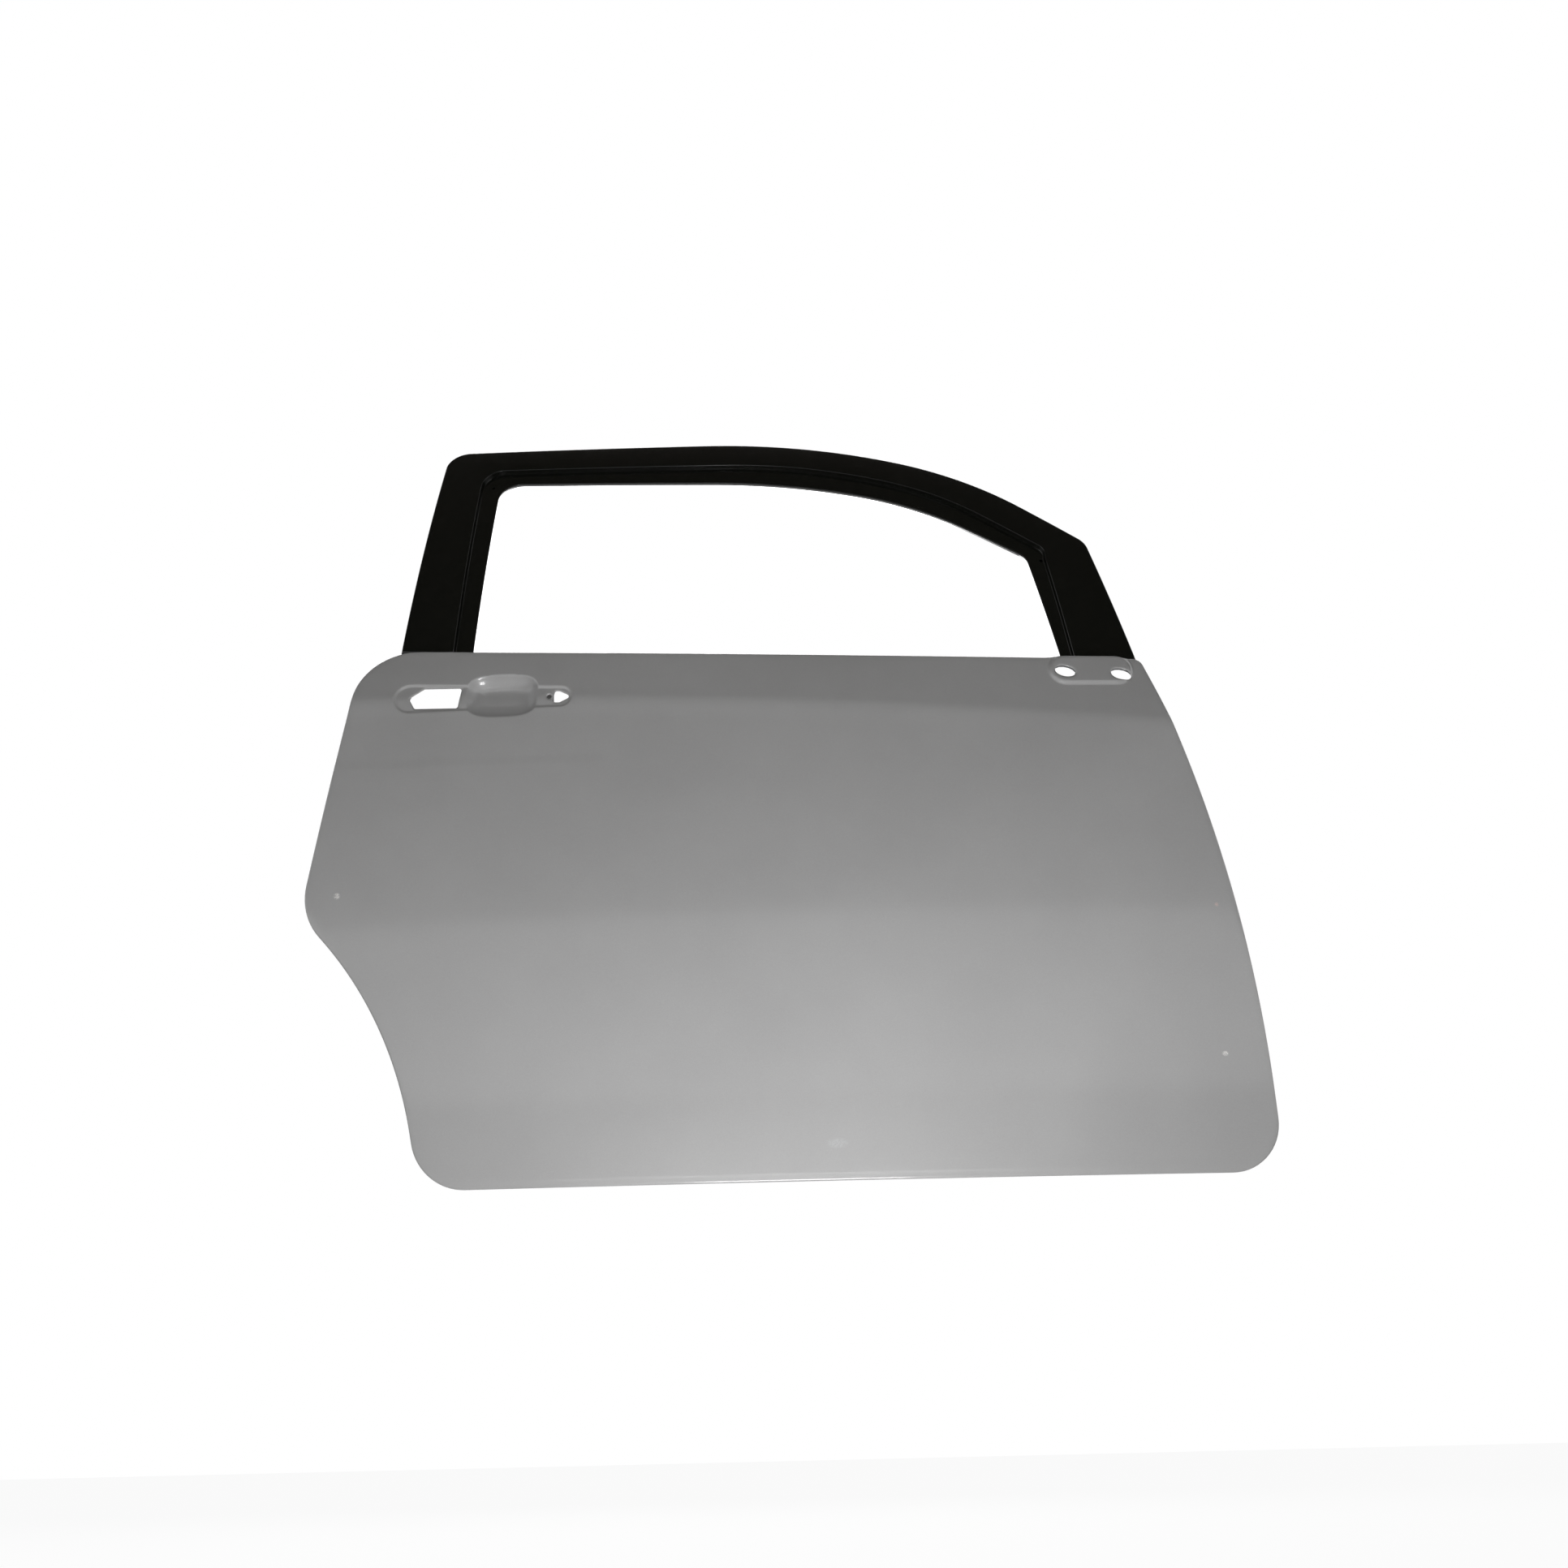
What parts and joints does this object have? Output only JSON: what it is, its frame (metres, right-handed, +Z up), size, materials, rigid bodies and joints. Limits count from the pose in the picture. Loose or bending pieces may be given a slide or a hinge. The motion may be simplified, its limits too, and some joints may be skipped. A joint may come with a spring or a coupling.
{
  "type": "car door shell",
  "caption": "Bare pressed-steel front door shell for the right-hand side of a small car: grey outer skin with handle recess, black window frame and an open inner panel.",
  "frame": {"origin": "centre of the flat face on the front edge that the upper hinge bolts to, 60 mm inboard of the widest line of the skin", "axes": "+X towards the front of the car, +Y inboard, +Z up, with the door upright as hung"},
  "size_m": [1.1009, 0.2204, 1.0057],
  "materials": {
    "panel_paint": "semi-gloss grey",
    "inside_paint": "satin grey",
    "frame_paint": "gloss black",
    "primer": "matt primer",
    "zinc": "zinc plated",
    "mastic": "matt"
  },
  "bodies": {
    "root": {"outer_panel": "panel_paint", "inner_panel": "inside_paint", "frame_outer": "frame_paint", "frame_inner": "frame_paint", "outer_waist_rail": "primer", "inner_waist_rail": "primer", "glass_guide_rear": "primer", "glass_guide_rear_bracket": "primer", "glass_guide_front": "primer", "glass_guide_front_bracket": "primer", "impact_beam": "primer", "beam_bracket_rear": "primer", "beam_bracket_front": "primer", "hinge_reinforcement_upper": "primer", "hinge_reinforcement_lower": "primer", "check_reinforcement": "primer", "latch_reinforcement": "primer", "handle_reinforcement": "primer", "mirror_reinforcement": "primer", "flutter_pad_1": "mastic", "flutter_pad_2": "mastic", "flutter_pad_3": "mastic", "hinge_nut_upper_1": "zinc", "hinge_nut_upper_2": "zinc", "hinge_nut_lower_1": "zinc", "hinge_nut_lower_2": "zinc"}
  },
  "joints": []
}
